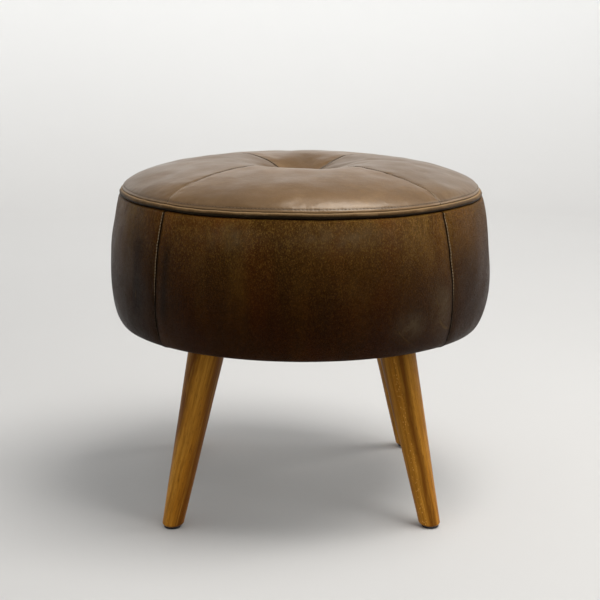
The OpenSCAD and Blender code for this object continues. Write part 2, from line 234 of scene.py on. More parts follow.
class Looks:
    """Builds one node material: most methods add a node and return its output."""

    def __init__(self, name, **shader):
        self.material = bpy.data.materials.new(name)
        self.material.use_nodes = True
        self.tree = self.material.node_tree
        self.shader = self.tree.nodes["Principled BSDF"]
        self.object = self.node("TexCoord", "Object")
        self.colour = None
        for key, value in shader.items():
            self.feed(self.shader.inputs[key.replace("_", " ")], value)

    def node(self, kind, output, feeds=(), **settings):
        """Adds a node with its settings, feeds its inputs and returns one output."""
        made = self.tree.nodes.new("ShaderNode" + kind)
        for key, value in settings.items():
            setattr(made, key, value)
        for key, value in feeds:
            self.feed(made.inputs[key], value)
        return made.outputs[output]

    def feed(self, socket, value):
        if isinstance(value, bpy.types.NodeSocket):
            self.tree.links.new(value, socket)
        elif isinstance(value, tuple) and len(value) == 3 and socket.type == "RGBA":
            socket.default_value = (*value, 1)
        else:
            socket.default_value = value

    def place(self, scale=(1, 1, 1), move=(0, 0, 0), turn=(0, 0, 0), source=None):
        return self.node("Mapping", "Vector", (("Vector", source or self.object), ("Scale", scale),
                                               ("Location", move), ("Rotation", turn)))

    def noise(self, scale, detail=2.0, rough=0.5, at=None):
        return self.node("TexNoise", "Fac", (("Vector", at or self.object), ("Scale", scale),
                                             ("Detail", detail), ("Roughness", rough)))

    def swirl(self, scale, at=None):
        """A colour noise, used as a vector to warp coordinates."""
        return self.node("TexNoise", "Color", (("Vector", at or self.object), ("Scale", scale)))

    def cells(self, scale, feature="DISTANCE_TO_EDGE", at=None, output="Distance"):
        return self.node("TexVoronoi", output, (("Vector", at or self.object), ("Scale", scale)),
                         feature=feature)

    def bands(self, scale, warp=0.0, detail=2.0, at=None, axis="X"):
        return self.node("TexWave", "Fac", (("Vector", at or self.object), ("Scale", scale),
                                            ("Distortion", warp), ("Detail", detail), ("Detail Scale", 1.0)),
                         bands_direction=axis)

    def math(self, operation, *values):
        return self.node("Math", "Value", enumerate(values), operation=operation)

    def times(self, value, *factors):
        """The product of all its arguments."""
        for factor in factors:
            value = self.math("MULTIPLY", value, factor)
        return value

    def span(self, value, low, high, to_low=0.0, to_high=1.0):
        return self.node("MapRange", "Result", (("Value", value), ("From Min", low), ("From Max", high),
                                                ("To Min", to_low), ("To Max", to_high)))

    def mix(self, factor, a, b, blend="MIX"):
        """A mix of two colours: they are the node's inputs 6 and 7, and the result is its output 2."""
        return self.node("Mix", 2, (("Factor", factor), (6, a), (7, b)), data_type="RGBA", blend_type=blend)

    def coat(self, layer, *strengths, blend="MIX"):
        """Lays a colour over what is there already, as strongly as the product of its strengths."""
        self.colour = self.mix(self.times(*strengths), self.colour, layer, blend)

    def axis(self, letter, source=None):
        return self.node("SeparateXYZ", letter, [("Vector", source or self.object)])

    def grey(self, value):
        return self.node("CombineColor", "Color", [(channel, value) for channel in range(3)])

    def read(self, attribute, output="Fac"):
        return self.node("Attribute", output, attribute_name=attribute)

    def finished(self, rough, *layers):
        """The material, with its colour, its roughness and bump layers of a height and a depth in metres."""
        self.feed(self.shader.inputs["Base Color"], self.colour)
        self.feed(self.shader.inputs["Roughness"], rough)
        normal = None
        for height, depth in layers:
            feeds = [("Height", height), ("Distance", depth), ("Strength", 1.0)]
            if normal:
                feeds.append(("Normal", normal))
            normal = self.node("Bump", "Normal", feeds)
        if normal:
            self.feed(self.shader.inputs["Normal"], normal)
        return self.material


# ---- Materials ----

PEBBLES = 760.0     # leather pebbles per metre


def leather(name, dark, mid, light, level, rough, tint=(1, 1, 1), streaks=1.0, clouding=0.8, grain=0.1,
            pebbling=0.06 * MM, painted_hem_shade_rim_sheen=None, russet=None):
    """Aniline leather: cloudy dye, pebbled grain that comes and goes, scuffs, stains and painted light:
    painted shade in the seams, in the pebbles' valleys and on whole panels, painted highlights on ridges, a
    painted sheen.

    The dye is drawn out upwards by streaks. Grain is the strength of the pebbles' tones, and pebbling is
    their depth. The colour is also multiplied from hem to rim by a painted shade at the hem and a painted
    sheen at the rim, and russet is a second dye.
    """
    looks = Looks(name, Specular_IOR_Level=level, Specular_Tint=tint)
    black = tuple(0.12 * c for c in dark)
    warped = looks.mix(0.03, looks.object, looks.swirl(9.0))
    drawn = looks.place(scale=(1, 1, streaks), source=warped)
    clouds = looks.noise(6.5, 3.0, 0.55, at=drawn)
    blotches = looks.noise(21.0, 4.0, 0.62, at=drawn)
    mottles = looks.noise(75.0, 3.0, 0.6)
    looks.colour = looks.mix(looks.span(clouds, 0.5 - 0.2 / clouding, 0.5 + 0.2 / clouding), dark, mid)
    looks.coat(light, looks.span(blotches, 0.52, 0.74), 0.5 * clouding)
    looks.coat(dark, looks.span(mottles, 0.45, 0.75, 0.0, 0.3 * clouding))
    if russet:
        ruddy = looks.noise(17.0, 2.0, 0.5, at=looks.place(move=(0.4, 0.1, 0.2), source=drawn))
        looks.coat(russet, looks.span(ruddy, 0.46, 0.62), looks.span(looks.axis("X"), 0.07, 0.19, 0.42, 0.1))
    stirred = looks.mix(0.002, looks.object, looks.swirl(120.0))
    at = looks.place(scale=(1, 1, 0.6), turn=(0, 0.7, 0), source=stirred)
    pebble = looks.span(looks.cells(PEBBLES, at=at), 0.0, 0.34)
    tone = looks.cells(PEBBLES, "F1", at=at, output="Color")
    where = looks.span(looks.noise(10.0, 2.0, 0.5), 0.36, 0.66, 0.55 * grain, grain)
    valley = looks.times(looks.math("SUBTRACT", 1.0, pebble), where)
    looks.coat(light, looks.span(tone, 0.56, 0.8, 0.0, 0.34), where)
    looks.coat(black, looks.span(tone, 0.48, 0.2, 0.0, 0.5), where)
    # Painted shade in the valleys between the pebbles.
    looks.coat(black, valley, 0.7)
    looks.coat(light, looks.span(looks.noise(700.0, 2.0, 0.6), 0.56, 0.74), 0.3)
    # Painted shade darkening the colour towards the hem, and painted sheen lightening it towards the rim.
    if painted_hem_shade_rim_sheen:
        up = looks.span(looks.axis("Z"), HEM_Z, RIM_Z)
        looks.coat(looks.mix(looks.math("POWER", up, 3.0), *painted_hem_shade_rim_sheen), 1.0, blend="MULTIPLY")
    # Real stains, and painted shade over whole panels and over parts of the top.
    looks.coat(black, looks.read("stain_and_shade"), looks.span(blotches, 0.25, 0.6, 0.55, 1.0))
    tilted = looks.place(scale=(1, 1, 0.55), turn=(0.5, 0.3, 0.6), source=warped)
    lines = looks.span(looks.bands(9.0, 7.0, 1.0, at=tilted), 0.99, 1.0)
    broken = looks.span(looks.noise(32.0, 2.0, 0.5), 0.46, 0.56)
    sparse = looks.span(looks.noise(17.0, 1.0, 0.5), 0.60, 0.68)
    # Scuffed patches and a painted sheen: lighter, greyer colour, with more scratches in them.
    wear_and_painted_light = looks.read("wear_and_painted_light")
    scratch = looks.times(lines, broken, looks.math("MAXIMUM", looks.times(sparse, 0.3), wear_and_painted_light))
    looks.coat(tuple(0.5 * c + 0.045 for c in light), wear_and_painted_light, looks.span(mottles, 0.3, 0.7, 0.1, 0.45))
    looks.coat(light, scratch, 0.55)
    # Painted highlight where light catches the seams' ridges, the top's rolled edge and the piping's upper
    # face.
    looks.coat(light, looks.read("edge"), 0.8)
    # Painted shade in the seam grooves, under the piping and inside the folds.
    looks.coat(black, looks.read("crease_shade"))
    sheen = looks.span(looks.noise(14.0, 3.0, 0.6), 0.3, 0.7, rough, rough + 0.12)
    return looks.finished(looks.math("ADD", sheen, looks.times(valley, 0.15)),
                          (looks.noise(60.0, 3.0, 0.5), 0.5 * MM), (looks.times(pebble, where), pebbling),
                          (looks.noise(1500.0, 2.0, 0.6), 0.02 * MM), (scratch, -0.05 * MM))


def wood(name, early, late, light, period, slant, shift, heading=0.0, finish=0.38, rays=None, grain=None):
    """Turned wood with the grain along local Z: growth rings cut at a slant, fibres, pores and ray flecks.

    The rings' flat sides face the direction heading, one period apart, and lean by slant. The ray flecks
    run in a column at the distance rays from the axis.
    """
    looks = Looks(name, Specular_IOR_Level=0.2, Specular_Tint=(1.0, 0.65, 0.25))
    place = looks.read(grain, "Vector") if grain else looks.object
    faced = looks.place(source=place, turn=(0, 0, heading))
    base = looks.place(source=faced, turn=(0, slant, 0), move=(shift, shift, 10 * shift))
    along = looks.place(scale=(1, 1, 0.1), source=looks.mix(0.012, base, looks.swirl(5.0, at=base)))
    rings = looks.bands(0.314 / period, 1.3, 2.0, at=along)
    wide = looks.noise(30.0, 3.0, 0.55, at=along)
    lines = looks.bands(1.57 / period, 2.5, 3.0, at=along)
    thin = looks.place(scale=(1, 1, 0.02), source=base)
    streaks = looks.noise(330.0, 2.0, 0.6, at=thin)
    fibre = looks.noise(900.0, 3.0, 0.65, at=thin)
    short = looks.place(scale=(1, 1, 0.05), source=base)
    pores = looks.span(looks.noise(1500.0, 1.0, 0.5, at=short), 0.62, 0.7)
    looks.colour = looks.mix(looks.span(wide, 0.40, 0.64), early, light)
    looks.coat(late, looks.span(rings, 0.5, 1.0, 0.0, 0.9))
    looks.coat(late, looks.span(lines, 0.55, 0.95, 0.0, 0.28))
    looks.coat(light, looks.span(streaks, 0.5, 0.7, 0.0, 0.35))
    looks.coat(late, looks.span(streaks, 0.48, 0.3, 0.0, 0.3))
    looks.coat(tuple(0.45 * c for c in late), looks.span(fibre, 0.35, 0.75, 0.0, 0.42))
    looks.coat(tuple(0.3 * c for c in late), pores, 0.5)
    if rays is not None:
        off = looks.math("ABSOLUTE", looks.math("SUBTRACT", looks.axis("X", faced), rays))
        flecks = looks.cells(330.0, "F1", at=looks.place(scale=(1, 1, 0.8), source=base))
        looks.coat(tuple(1.15 * c + 0.03 for c in light), looks.span(flecks, 0.35, 0.15),
                   looks.span(off, 5 * MM, 2 * MM), 0.7)
    if grain:
        # Painted shade: the leg darker towards its top under the seat, and lighter towards its foot.
        wear_and_painted_light = looks.grey(looks.span(looks.axis("Z", place), 0.0, LEG_LENGTH, 1.2, 0.84))
        looks.coat(wear_and_painted_light, 1.0, blend="MULTIPLY")
    return looks.finished(looks.span(fibre, 0.3, 0.7, finish, finish + 0.14),
                          (fibre, 0.06 * MM), (pores, -0.08 * MM), (rings, 0.05 * MM))


def speckled(name, dark, light, scale, depth, rough, metal=0.0, stretch=(1, 1, 1)):
    """A rough or brushed surface whose colour and height follow one noise, with larger clouds over it."""
    looks = Looks(name, Metallic=metal, Specular_IOR_Level=0.4)
    at = looks.place(scale=stretch)
    fine = looks.noise(scale, 4.0, 0.65, at=at)
    clouds = looks.noise(scale / 14, 2.0, 0.5, at=at)
    looks.colour = looks.mix(looks.span(fine, 0.3, 0.7), dark, light)
    looks.coat(dark, looks.span(clouds, 0.4, 0.7, 0.0, 0.4))
    return looks.finished(looks.span(clouds, 0.3, 0.7, rough, rough + 0.15), (fine, depth))


def plywood(name):
    """Birch plywood: long grain on the faces and thin glued plies around the edge."""
    looks = Looks(name, Specular_IOR_Level=0.3)
    face = looks.noise(60.0, 4.0, 0.6, at=looks.place(scale=(1, 0.07, 1)))
    plies = looks.bands(105.0, 0.4, 2.0, axis="Z")
    looks.colour = looks.mix(looks.span(face, 0.35, 0.65), (0.56, 0.38, 0.20), (0.70, 0.52, 0.31))
    looks.coat((0.30, 0.17, 0.08), looks.span(plies, 0.75, 0.95, 0.0, 0.55))
    return looks.finished(looks.span(face, 0.3, 0.7, 0.6, 0.78), (face, 0.15 * MM), (plies, 0.08 * MM))


def woven(name, dark, light, pitch, rough):
    """A plain weave seen flat: threads over and under each other in X and Y."""
    looks = Looks(name, Specular_IOR_Level=0.2)
    warp = looks.bands(1 / pitch / 20, 0.3, 1.0, axis="X")
    weft = looks.bands(1 / pitch / 20, 0.3, 1.0, axis="Y")
    weave = looks.times(warp, weft)
    fuzz = looks.noise(400.0, 3.0, 0.6)
    looks.colour = looks.mix(looks.span(weave, 0.0, 0.6), dark, light)
    looks.coat(light, looks.span(fuzz, 0.4, 0.8, 0.0, 0.5))
    return looks.finished(looks.span(fuzz, 0.3, 0.7, rough, rough + 0.1), (weave, 0.2 * MM), (fuzz, 0.1 * MM))


# The top and side are one leather: the top's colours are painted lighter as lit from above, the side's darker
# as shaded.
TOP_LEATHER_LIT = leather("top_leather", (0.112, 0.056, 0.015), (0.195, 0.105, 0.038), (0.31, 0.188, 0.085),
                      level=0.62, rough=0.29, tint=(1.0, 0.9, 0.78), streaks=0.6, clouding=0.9, grain=0.14)
SIDE_LEATHER_SHADED = leather("side_leather", (0.026, 0.0085, 0.0006), (0.066, 0.029, 0.003), (0.20, 0.115, 0.022),
                       level=0.06, rough=0.27, tint=(1.0, 0.62, 0.28), streaks=0.3, clouding=0.66, grain=0.7,
                       pebbling=1.1 * MM, painted_hem_shade_rim_sheen=((0.46, 0.28, 0.10), (3.0, 3.0, 3.6)),
                       russet=(0.070, 0.016, 0.0008))
PIPING_LEATHER = leather("piping_leather", (0.05, 0.024, 0.007), (0.095, 0.049, 0.016), (0.34, 0.22, 0.11),
                         level=0.12, rough=0.45, tint=(1.0, 0.8, 0.55))
BUTTON_LEATHER = leather("button_leather", (0.11, 0.062, 0.028), (0.18, 0.10, 0.05), (0.32, 0.21, 0.12),
                         level=0.4, rough=0.38)
FOAM = speckled("foam", (0.62, 0.55, 0.33), (0.83, 0.77, 0.55), 500.0, 0.5 * MM, 0.85)
WADDING = speckled("batting", (0.70, 0.70, 0.66), (0.90, 0.90, 0.87), 220.0, 0.8 * MM, 0.9)
THREAD = speckled("thread", (0.22, 0.15, 0.085), (0.50, 0.39, 0.26), 1800.0, 0.05 * MM, 0.6)
BROWN_THREAD = speckled("brown_thread", (0.10, 0.06, 0.03), (0.24, 0.16, 0.09), 1800.0, 0.05 * MM, 0.6)
TWINE = speckled("twine", (0.48, 0.40, 0.27), (0.76, 0.69, 0.53), 900.0, 0.15 * MM, 0.75, stretch=(1, 1, 0.3))
CORD_CORE = speckled("piping_core", (0.60, 0.55, 0.44), (0.84, 0.79, 0.68), 900.0, 0.15 * MM, 0.8)
HARDBOARD = speckled("hardboard", (0.17, 0.09, 0.04), (0.31, 0.18, 0.09), 350.0, 0.12 * MM, 0.6)
ZINC = speckled("steel", (0.42, 0.43, 0.44), (0.62, 0.63, 0.64), 900.0, 0.02 * MM, 0.3, 1.0)
YELLOW_ZINC = speckled("yellow_steel", (0.46, 0.36, 0.13), (0.68, 0.56, 0.27), 900.0, 0.02 * MM, 0.3, 1.0)
PLATE_STEEL = speckled("plate_steel", (0.20, 0.21, 0.21), (0.36, 0.37, 0.37), 420.0, 0.04 * MM, 0.38, 1.0,
                       stretch=(1, 0.15, 1))
PLASTIC = speckled("glide_plastic", (0.010, 0.010, 0.011), (0.026, 0.026, 0.028), 800.0, 0.04 * MM, 0.45)
DUST_CLOTH = woven("dust_cloth", (0.008, 0.008, 0.008), (0.035, 0.035, 0.036), 0.9 * MM, 0.85)
PLYWOOD = plywood("plywood")
PINE = wood("pine", (0.62, 0.43, 0.21), (0.48, 0.27, 0.10), (0.74, 0.56, 0.33), 14 * MM, 0.03, 0.01,
            finish=0.6)
BEECH = wood("beech_dowel", (0.55, 0.33, 0.16), (0.42, 0.22, 0.09), (0.66, 0.44, 0.25), 9 * MM, 0.02, 0.02,
             finish=0.55)
OAK_EARLY, OAK_LATE, OAK_LIGHT = (0.385, 0.15, 0.012), (0.125, 0.035, 0.002), (0.57, 0.27, 0.036)
OAK_CUTS = {"front_left": (32 * MM, -0.058, 37 * MM, None), "front_right": (26 * MM, 0.01, 5 * MM, -8 * MM),
            "rear_left": (24 * MM, 0.03, 3 * MM, 4 * MM), "rear_right": (28 * MM, -0.02, 11 * MM, -3 * MM)}
LEATHERS = {"top": TOP_LEATHER_LIT, "side": SIDE_LEATHER_SHADED}
OAKS = {corner: wood(f"oak_{corner}", OAK_EARLY, OAK_LATE, OAK_LIGHT, period, slant, shift,
                     heading=math.radians(CORNERS[corner]), rays=rays, grain="grain")
        for corner, (period, slant, shift, rays) in OAK_CUTS.items()}

# ---- Outline of the seat ----


def top_height(r):
    """Height of the top at radius r."""
    beyond = np.clip((r - CREST_R) / (RIM_R - CREST_R), 0, 1)
    shoulder = RIM_Z + (CREST_Z - RIM_Z) * np.sqrt(1 - beyond**CROWN_POWER)
    towards = np.clip((CREST_R - np.maximum(r, BUTTON_R)) / (CREST_R - BUTTON_R), 0, 1)
    return np.where(r > CREST_R, shoulder, CREST_Z - DIMPLE_DEPTH * towards**DIMPLE_POWER)


def side_radius(z):
    """Radius of the side at height z, above its belly."""
    return BELLY_R - RIM_TUCK * ((z - BELLY_Z) / (RIM_Z - BELLY_Z)) ** SIDE_POWER


FOLD_R = PIPING_R + 0.25 * MM     # leather folds around the piping at this radius
SEAM_HALF = 0.95 * MM             # from the rim's seam plane to the panels' allowances
SHOULDER_END = 0.9854             # how far from crest to rim the top's shoulder runs before its roll
PIPE_CENTRE = (PIPING_RING, RIM_Z)


def top_outline():
    """From the button's hole over the crest, down the shoulder, around its rolled edge and in to the seam."""
    under_button = [(WELL_R, BUTTON_Z), (10 * MM, BUTTON_Z), (BUTTON_R - 2 * MM, BUTTON_Z)]
    r = np.concatenate([np.linspace(BUTTON_R, CREST_R, 32),
                        CREST_R + (RIM_R - CREST_R) * np.sin(np.linspace(0, math.asin(SHOULDER_END), 52))])
    crown = np.column_stack([r, top_height(r)])
    step = crown[-1] - crown[-2]
    facing = math.degrees(math.atan2(step[0], -step[1]))
    roll = 1.6 * MM
    centre = crown[-1] - polar(roll, math.radians(facing))[:2]
    return outline(under_button, crown, arc(centre, roll, roll, facing, -80, 9)[1:],
                   arc(PIPE_CENTRE, FOLD_R, FOLD_R, 110, 166, 7),
                   np.column_stack([np.linspace(PIPING_RING - PIPING_R - 1.5 * MM, ALLOWANCE_R, 4),
                                    np.full(4, RIM_Z + SEAM_HALF)]))


def side_outline():
    """From the rim's seam around the piping, over the rolled edge, down the barrel and in under the base."""
    allowance = np.column_stack([np.linspace(ALLOWANCE_R, PIPING_RING - PIPING_R - 0.5 * MM, 4),
                                 np.full(4, RIM_Z - SEAM_HALF)])
    roll = 4.08 * MM
    fold = arc(PIPE_CENTRE, FOLD_R, FOLD_R, -166, -80, 10)
    centre = fold[-1] + polar(roll, math.radians(-80))[:2]
    shoulder = arc(centre, roll, roll, 100, 15, 12)
    z = np.linspace(shoulder[-1, 1] - 1.2 * MM, BELLY_Z, 38)
    return outline(allowance, fold, shoulder, np.column_stack([side_radius(z), z]),
                   arc((HEM_R, BELLY_Z), BELLY_R - HEM_R, BELLY_Z - HEM_Z, 0, -90, 31)[1:],
                   arc((HEM_R, TURN_IN_Z), HEM_R - BOARD_R, TURN_IN_Z - HEM_Z, -90, -180, 11)[1:],
                   [(BOARD_R - 5 * MM, TURN_IN_Z), (BOARD_R - 10 * MM, TURN_IN_Z), (TURN_IN_R, TURN_IN_Z)])


TOP = Skin(top_outline())
SIDE = Skin(side_outline())
SKINS = {"top": TOP, "side": SIDE}
TOP_EDGE_ROW = 86       # where the top's shoulder starts to roll in
SIDE_EDGE_ROW = 16      # the highest point of the side's rolled edge
SIDE_HEM_ROW = -14      # the lowest point of the side
EDGES = {"top": TOP.along[TOP_EDGE_ROW], "side": SIDE.along[SIDE_EDGE_ROW]}
SIDE_HEM = SIDE.along[SIDE_HEM_ROW]


def rim_wave(theta):
    """How far the rim rises and falls around the seat, in metres."""
    waves = ((2, 0.35, 0.4), (5, 0.30, 2.0), (7, 0.22, 5.1), (11, 0.16, 1.2), (17, 0.10, 3.3))
    return sum(size * MM * np.cos(order * theta + phase) for order, size, phase in waves)


# ---- Simulation of the stretched cover ----

AROUND = 96     # columns of a trial cover
STEPS = 20      # frames simulated


def cover_pins(rows):
    """Pin weights of a ring-shaped cover: its sewn borders are held fast, and its four seams nearly so."""
    weight = np.zeros((rows, AROUND))
    seam = np.abs((np.arange(AROUND) * 360 / AROUND) % 90 - 45)
    weight[:] = 0.9 * (seam < 0.1)
    weight[[0, -1]] = 1
    return weight


def inflate(name, skin, rows, seed):
    """Cloth simulation of one cover, blown up from inside. Returns its rise along the normals at rows."""
    theta = np.arange(AROUND) * 2 * math.pi / AROUND
    coarse = Skin(np.column_stack([skin.r[rows], skin.z[rows]]))
    start = coarse.points(theta)
    uneven = ripple(start, 70 * MM, seed) * 0.5 * MM
    start = coarse.points(theta, out=uneven)
    mesh = bpy.data.meshes.new(name)
    faces = grid_faces(len(rows), AROUND, wrap=True, flip=True)
    mesh.from_pydata(start.reshape(-1, 3).tolist(), [], faces.tolist())
    body = bpy.data.objects.new(name, mesh)
    bpy.context.scene.collection.objects.link(body)
    group = body.vertex_groups.new(name="held")
    for index, weight in enumerate(cover_pins(len(rows)).ravel()):
        group.add([index], float(weight), "REPLACE")
    cloth = body.modifiers.new("cloth", "CLOTH")
    settings = cloth.settings
    settings.quality = 6
    settings.mass = 0.4
    settings.tension_stiffness = 60
    settings.compression_stiffness = 60
    settings.shear_stiffness = 30
    settings.bending_stiffness = 8
    settings.vertex_group_mass = "held"
    settings.shrink_min = -0.012
    settings.use_pressure = True
    settings.uniform_pressure_force = 2.5
    settings.effector_weights.gravity = 0
    cloth.collision_settings.use_collision = False
    cloth.point_cache.frame_start = 1
    cloth.point_cache.frame_end = STEPS
    scene = bpy.context.scene
    for step in range(1, STEPS + 1):
        scene.frame_set(step)
    evaluated = body.evaluated_get(bpy.context.evaluated_depsgraph_get())
    moved = np.zeros(len(mesh.vertices) * 3)
    evaluated.data.vertices.foreach_get("co", moved)
    moved = moved.reshape(start.shape)
    bpy.data.objects.remove(body)
    bpy.data.meshes.remove(mesh)
    scene.frame_set(1)
    base = coarse.points(theta)
    normal = coarse.points(theta, out=1.0) - base
    return coarse.along + skin.along[rows[0]], ((moved - base) * normal).sum(-1)


def read_smooth(along, values, at, theta):
    """Reads a ring-shaped grid of values smoothly, at distances along the outline and at angles."""
    spectrum = np.fft.rfft(values, axis=1)[:, :AROUND // 2] / AROUND
    orders = np.arange(AROUND // 2)
    weight = np.where(orders == 0, 1, 2) * bell(orders, AROUND / 3)
    rows = np.real((spectrum * weight) @ np.exp(1j * np.outer(orders, theta)))
    i = np.clip(np.searchsorted(along, at) - 1, 0, len(along) - 2)
    gap = (along[i + 1] - along[i])[:, None]
    t = np.clip((at[:, None] - along[i][:, None]) / gap, 0, 1)
    slope = np.gradient(rows, along, axis=0)
    return (rows[i] * (1 + 2 * t) * (1 - t) ** 2 + slope[i] * gap * t * (1 - t) ** 2
            + rows[i + 1] * t * t * (3 - 2 * t) + slope[i + 1] * gap * t * t * (t - 1))


def settled(name, skin, rows, seed, most):
    """The cover's simulated rise, less its mean at mid-panel and capped at most, as a function of place."""
    along, rise = inflate(name, skin, rows, seed)
    middle = np.abs((np.arange(AROUND) * 360 / AROUND + 45) % 90 - 45) < 22
    rise = rise - rise[:, middle].mean(1)[:, None]
    rise = most * np.tanh(rise / most)
    return lambda at, theta: read_smooth(along, rise, at, theta)


RISES = {"top": settled("top_trial", TOP, np.r_[3:TOP_EDGE_ROW:4, TOP_EDGE_ROW], 11, 0.6 * MM),
         "side": settled("side_trial", SIDE, np.r_[SIDE_EDGE_ROW:96:4, 95], 23, 0.9 * MM)}

# ---- Leather cover ----

SEAM_ROLL = 1.5 * MM               # radius of the leather where it turns into a seam
SEAM_DRIFT = math.radians(2.2)     # how far the side seams lean off the vertical by the hem
STITCH_IN = 2.1 * MM               # from a seam to its row of stitches
RIM_STITCH_IN = 3.0 * MM           # from the top's shoulder to the rim's stitches
STITCH_ROWS = {"top": slice(5, TOP_EDGE_ROW), "side": slice(18, 92)}
RIM_FACING_ROW = 82                # the rim's stitches face as the top does here
STITCH_PATHS = {"rim": [], "top": [], "side": []}
NEAR_SEAM = np.array([0.02, 0.25, 0.6, 1.0, 1.5, 2.1, 2.8, 3.7, 4.8, 6.2, 8.0, 10.3, 13.0]) * MM


def panel_angles(middle):
    """Angles of a panel's columns, from one seam to the next, close together near the seams."""
    near = NEAR_SEAM / RIM_R
    quarter = math.pi / 2
    between = np.linspace(near[-1], quarter - near[-1], 92)[1:-1]
    return math.radians(middle - 45) + np.concatenate([near, between, quarter - near[::-1]])


def soft_shape(kind, theta):
    """Displacement of the whole leather, inner face included: simulated rise, puckers and slow ripples."""
    skin, rise, edge = SKINS[kind], RISES[kind], EDGES[kind]
    at, r = skin.along, skin.r[:, None]
    flat = skin.points(theta)
    quarter = math.pi / 2
    from_seam = r * np.abs((theta - math.pi / 4 + quarter / 2) % quarter - quarter / 2)
    if kind == "top":
        from_rim = np.maximum(edge - at, 0)[:, None]
        alive = ramp(from_rim, 9 * MM) * ramp(r - BUTTON_R, 12 * MM)
        out = rise(at, theta) * ramp(from_rim, 30 * MM)
        folds = bell(r - 19 * MM, 17 * MM) * ramp(r - BUTTON_R + 2 * MM, 5 * MM)
        spin = np.cos(13 * theta + 0.7) + 0.6 * np.cos(21 * theta + 2.1) + 0.5 * np.cos(9 * theta + 4.0)
        out = out + folds * spin * 0.42 * MM
        dip = 0.5 * MM * bell(from_seam, 6 * MM) * ramp(r, 60 * MM)
        slow = 0.16 * MM
    else:
        from_rim = np.maximum(at - edge, 0)[:, None]
        to_hem = np.maximum(SIDE_HEM - at, 0)[:, None]
        alive = ramp(from_rim, 9 * MM) * ramp(to_hem, 25 * MM)
        out = rise(at, theta) * ramp(from_rim, 30 * MM) * ramp(to_hem, 70 * MM)
        out = out + bell(from_seam, 5 * MM) * bell(to_hem, 7 * MM) * MM
        dip = MM * bell(from_seam, 8 * MM)
        slow = 0.3 * MM
    waves = ripple(flat, 120 * MM, 5) * slow + ripple(flat, 52 * MM, 6) * 0.2 * MM
    pucker = ripple(flat, 13 * MM, 7) * bell(from_seam, 9 * MM) * 0.16 * MM
    gather = ripple(flat, 10 * MM, 8) * bell(from_rim, 14 * MM) * 0.14 * MM
    return out + alive * (waves - dip + pucker) + ramp(from_rim, 2 * MM) * gather


def drifted(points):
    """Turns the barrel's points about Z so that its seams lean: front and back panels widen to the hem."""
    x, y, z = np.moveaxis(points, -1, 0)
    top = RIM_Z - 8 * MM
    down = ramp(top - z, top - HEM_Z)
    return spun(points, SEAM_DRIFT * np.sin(down * math.pi / 2) * (0.2 - np.sin(2 * np.arctan2(y, x))))


def seam_detail(kind, theta, stitched):
    """The outer face's own relief, and its painted shade and painted highlight: at the seams, stitches and
    rim.
    """
    skin, rim = SKINS[kind], EDGES[kind]
    r = skin.r[:, None]
    first, last = theta[0] - NEAR_SEAM[0] / RIM_R, theta[-1] + NEAR_SEAM[0] / RIM_R
    near = r * np.minimum(theta - first, last - theta)
    left = np.clip(SEAM_ROLL - near, 0, SEAM_ROLL)
    roll = (SEAM_ROLL - np.sqrt(SEAM_ROLL**2 - left**2)) * 0.87
    sunk = 0.22 * MM * bell(near - STITCH_IN, 0.9 * MM) * stitched
    if kind == "top":
        outwards = ramp(r - 130 * MM, 90 * MM)
        to_stitches = np.abs(rim - skin.along - RIM_STITCH_IN)[:, None]
        to_edge = np.abs(rim + 0.5 * MM - skin.along)[:, None]
        past = np.maximum(skin.along - rim, 0)[:, None]
        # Painted shade in the seam and along the rim's stitches; painted highlight beside the seam and on the
        # rolled edge.
        crease_shade = bell(near, 1.5 * MM) * (1 - 0.6 * outwards) + 0.6 * bell(to_stitches, 0.8 * MM)
        edge = bell(near - 1.5 * MM, 0.7 * MM) * 0.4 * outwards + 0.55 * bell(to_edge, 1.2 * MM)
        sunk = sunk + 0.3 * MM * bell(to_stitches, 1.0 * MM)
    else:
        upper = ramp(skin.z - 300 * MM, 60 * MM)[:, None]
        past = np.maximum(rim - skin.along, 0)[:, None]
        # Painted shade in the seam's groove; painted highlight beside it, on the upper barrel only.
        crease_shade = bell(near, 2.3 * MM)
        edge = bell(near - 2.4 * MM, 1.0 * MM) * (0.5 if stitched else 0.1) * upper
    # Painted shade inside the fold, past the rolled edge.
    crease_shade = np.clip(crease_shade + ramp(past - 2 * MM, 3 * MM) * 0.5, 0, 1)
    return -(roll + sunk), crease_shade, np.clip(edge, 0, 1)


# Angle around the seat, width, lowest and highest place, strength.
STAINS = ((228.8, 1.5, 270 * MM, 392 * MM, 0.75), (216.5, 3.4, 262 * MM, 398 * MM, 0.85),
          (261.0, 2.0, 262 * MM, 330 * MM, 0.35), (300.0, 3.0, 262 * MM, 320 * MM, 0.4),
          (322.0, 3.0, 270 * MM, 380 * MM, 0.25), (150.0, 3.0, 275 * MM, 380 * MM, 0.4),
          (75.0, 2.5, 270 * MM, 360 * MM, 0.4), (20.0, 3.0, 280 * MM, 390 * MM, 0.3))
# Painted shade on the top, strongest at its front left: angle, width, radius, strength.
TOP_PAINTED_SHADE = ((243.0, 22.0, 225 * MM, 0.36), (330.0, 20.0, 225 * MM, 0.2), (95.0, 25.0, 60 * MM, 0.08),
              (160.0, 20.0, 200 * MM, 0.2))
# Scuffed patches, the first one a painted sheen under the rim: angle, width, height, reach above and below
# it.
WEAR_AND_PAINTED_SHEEN = ((281.0, 16.0, 399 * MM, 16 * MM), (249.0, 9.0, 396 * MM, 14 * MM), (310.5, 4.5, 300 * MM, 32 * MM),
        (299.0, 4.5, 283 * MM, 16 * MM), (120.0, 6.0, 310 * MM, 25 * MM))
# Painted shade darkening whole panels, by how much.
PAINTED_PANEL_SHADE = {"top_left": 0.28, "top_right": 0.28, "side_left": 0.35, "side_right": 0.12, "side_back": 0.1}


